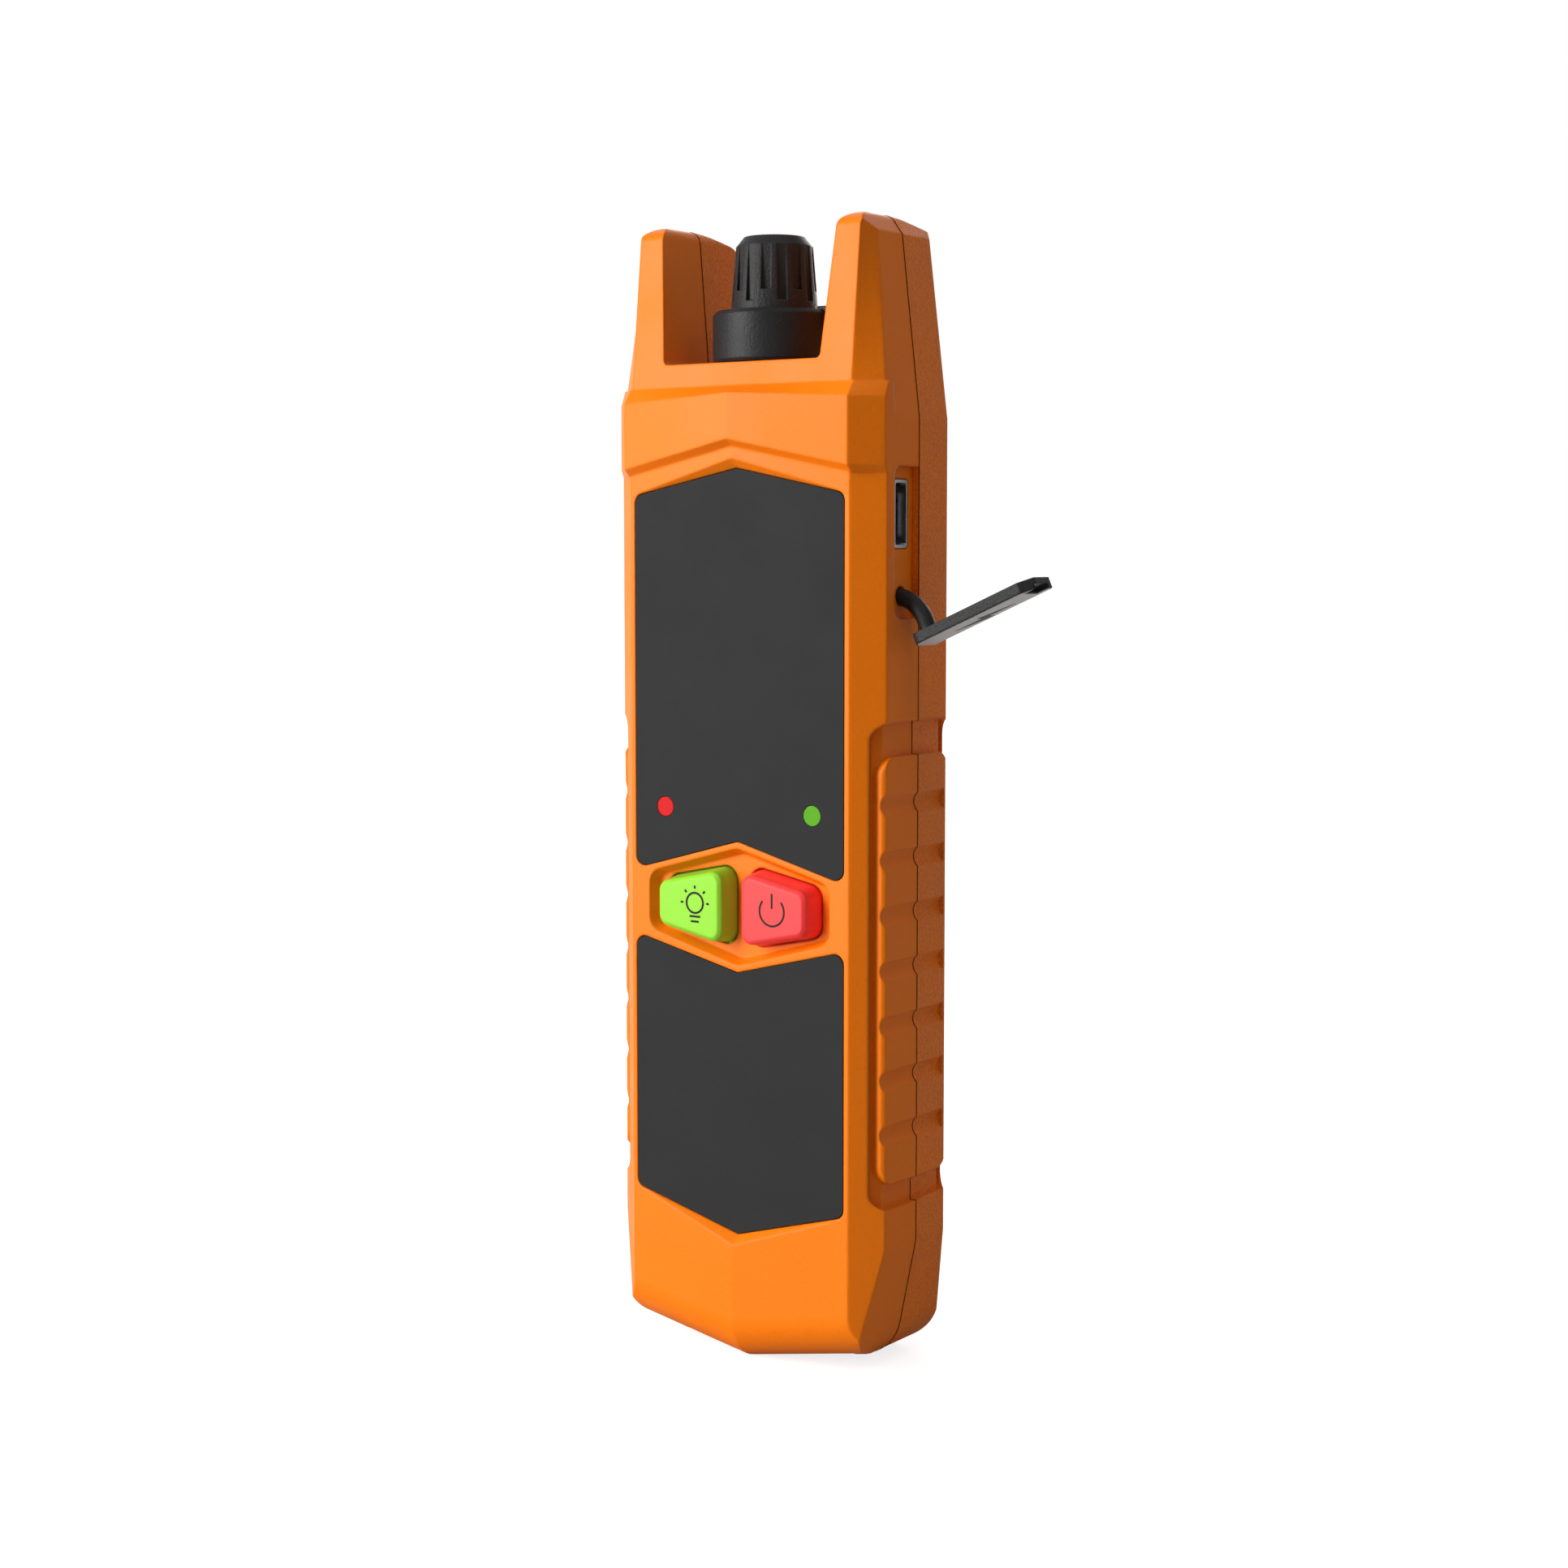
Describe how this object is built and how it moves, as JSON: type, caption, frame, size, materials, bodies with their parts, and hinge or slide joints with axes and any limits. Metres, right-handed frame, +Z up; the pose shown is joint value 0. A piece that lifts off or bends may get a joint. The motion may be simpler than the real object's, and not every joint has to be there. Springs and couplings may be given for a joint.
{
  "type": "visual fault locator",
  "caption": "Handheld visible laser source for fibre testing: two-piece housing with horned head, capped connector, two keys, label panels, side charging port with a hinged cover",
  "frame": {"origin": "centre of the flat base, on the parting plane of the two shells", "axes": "+Z up to the connector, -Y towards the label side, +X towards the charging port"},
  "size_m": [0.0532, 0.0206, 0.129],
  "materials": {
    "orange_plastic": "satin, lightly grained",
    "orange_textured": "fine spark-eroded grain",
    "label_film": "flat matte film",
    "green_key": "satin key",
    "red_key": "satin key",
    "red_lens": "lens",
    "green_lens": "lens",
    "board_laminate": "solder mask",
    "switch_case": "moulded",
    "steel_shell": "plated",
    "black_rubber": "satin rubber",
    "black_plastic": "satin",
    "cell_foil": "foil",
    "foam_pad": "foam",
    "laser_brass": "turned",
    "zirconia": "ground",
    "nickel_barrel": "nickel plate",
    "clear_lens": "clear",
    "screw_steel": "zinc plate",
    "seal_rubber": "cord"
  },
  "bodies": {
    "housing": {"front_shell": "orange_plastic", "rear_shell": "orange_textured", "upper_label": "label_film", "lower_label": "label_film", "charge_light": "red_lens", "laser_light": "green_lens", "main_board": "board_laminate", "torch_switch": "switch_case", "laser_switch": "switch_case", "usb_receptacle": "steel_shell", "cover_tether": "black_rubber", "battery_cell": "cell_foil", "battery_pad": "foam_pad", "laser_module": "laser_brass", "ferrule_sleeve": "zirconia", "connector_barrel": "nickel_barrel", "connector_collar": "black_plastic", "torch_led": "clear_lens", "case_screws": "screw_steel", "shell_seal": "seal_rubber"},
    "torch_button_body": {"torch_button": "green_key"},
    "laser_button_body": {"laser_button": "red_key"},
    "port_cover_body": {"port_cover": "black_rubber"},
    "dust_cap_body": {"dust_cap": "black_rubber"}
  },
  "joints": [
    {"name": "torch_button_press", "type": "slide", "parent": "housing", "child": "torch_button_body", "axis": [0, 1, 0], "range_m": [0, 0.0006], "stiffness_N_per_m": 800},
    {"name": "laser_button_press", "type": "slide", "parent": "housing", "child": "laser_button_body", "axis": [0, 1, 0], "range_m": [0, 0.0006], "stiffness_N_per_m": 800},
    {"name": "dust_cap_pull", "type": "slide", "parent": "housing", "child": "dust_cap_body", "axis": [0, 0, 1], "range_m": [0, 0.03]},
    {"name": "port_cover_hinge", "type": "hinge", "parent": "housing", "child": "port_cover_body", "pos_m": [0.01684, -0.0025, 0.08208], "axis": [0, 1, 0], "range_deg": [-66.5, 20], "stiffness_Nm_per_rad": 0.002, "deforming": ["cover_tether"]}
  ]
}
